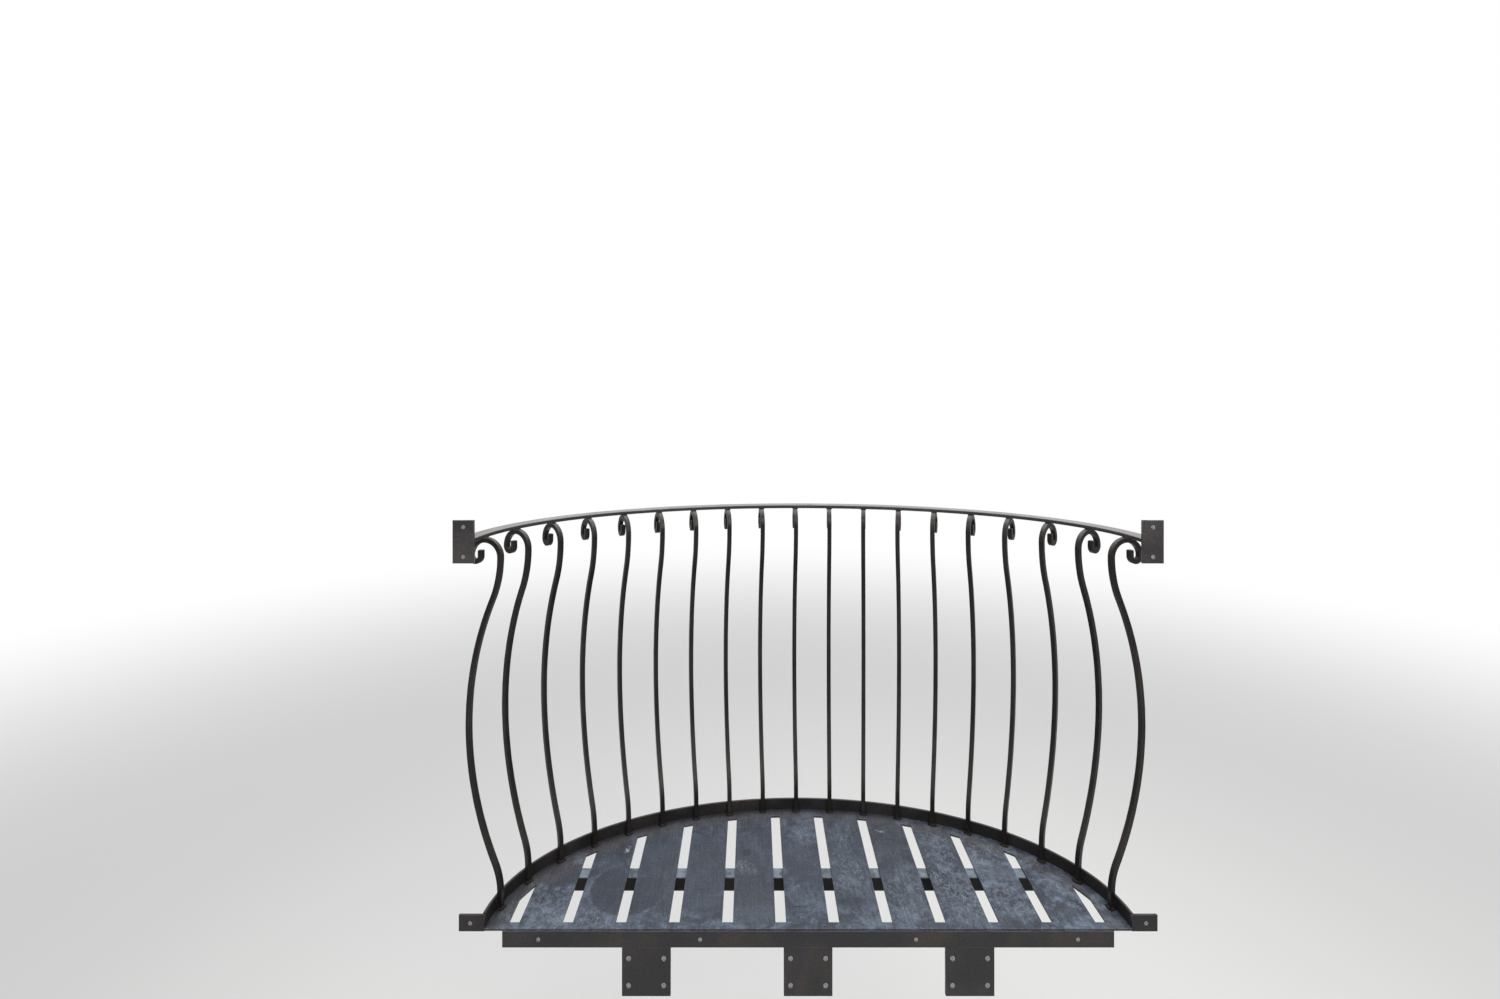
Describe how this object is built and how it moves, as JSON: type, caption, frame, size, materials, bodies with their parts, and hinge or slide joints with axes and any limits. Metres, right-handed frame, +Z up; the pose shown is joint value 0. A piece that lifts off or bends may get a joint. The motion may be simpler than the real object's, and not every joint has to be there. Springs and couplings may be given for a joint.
{
  "type": "juliet balcony with bellied railing and slotted steel deck",
  "caption": "Bowed juliet balcony: slotted steel deck plate in an elliptical rim band, bellied square balusters with outward crooks, a flat bowed top rail and bolted wall fixings.",
  "frame": {"origin": "middle of the wall ledger's back face, on the wall plane", "axes": "+X along the wall, +Y straight out from the wall, +Z up"},
  "size_m": [1.6812, 0.5596, 1.1191],
  "materials": {
    "rail_paint": "satin black paint, worn and dusty on top",
    "bar_paint": "satin black paint with brown weathering",
    "rim_paint": "satin black paint with scuffs",
    "deck_paint": "blue-grey paint, mottled and scuffed",
    "bearer_paint": "blue-grey paint, dusty",
    "arm_paint": "satin black paint"
  },
  "bodies": {
    "root": {"deck_plate": "deck_paint", "rim_band": "rim_paint", "rim_lug_left": "rim_paint", "rim_lug_right": "rim_paint", "top_rail": "rail_paint", "rail_flange_left": "rail_paint", "rail_flange_right": "rail_paint", "cross_bearer": "bearer_paint", "bearer_cap_left": "bearer_paint", "bearer_cap_right": "bearer_paint", "wall_ledger": "rim_paint", "arm_left": "arm_paint", "arm_middle": "arm_paint", "arm_right": "arm_paint", "arm_plate_left": "arm_paint", "arm_plate_middle": "arm_paint", "arm_plate_right": "arm_paint", "arm_cap_left": "arm_paint", "arm_cap_middle": "arm_paint", "arm_cap_right": "arm_paint", "baluster_01": "bar_paint", "baluster_02": "bar_paint", "baluster_03": "bar_paint", "baluster_04": "bar_paint", "baluster_05": "bar_paint", "baluster_06": "bar_paint", "baluster_07": "bar_paint", "baluster_08": "bar_paint", "baluster_09": "bar_paint", "baluster_10": "bar_paint", "baluster_11": "bar_paint", "baluster_12": "bar_paint", "baluster_13": "bar_paint", "baluster_14": "bar_paint", "baluster_15": "bar_paint", "baluster_16": "bar_paint", "baluster_17": "bar_paint", "baluster_18": "bar_paint", "baluster_19": "bar_paint"}
  },
  "joints": []
}
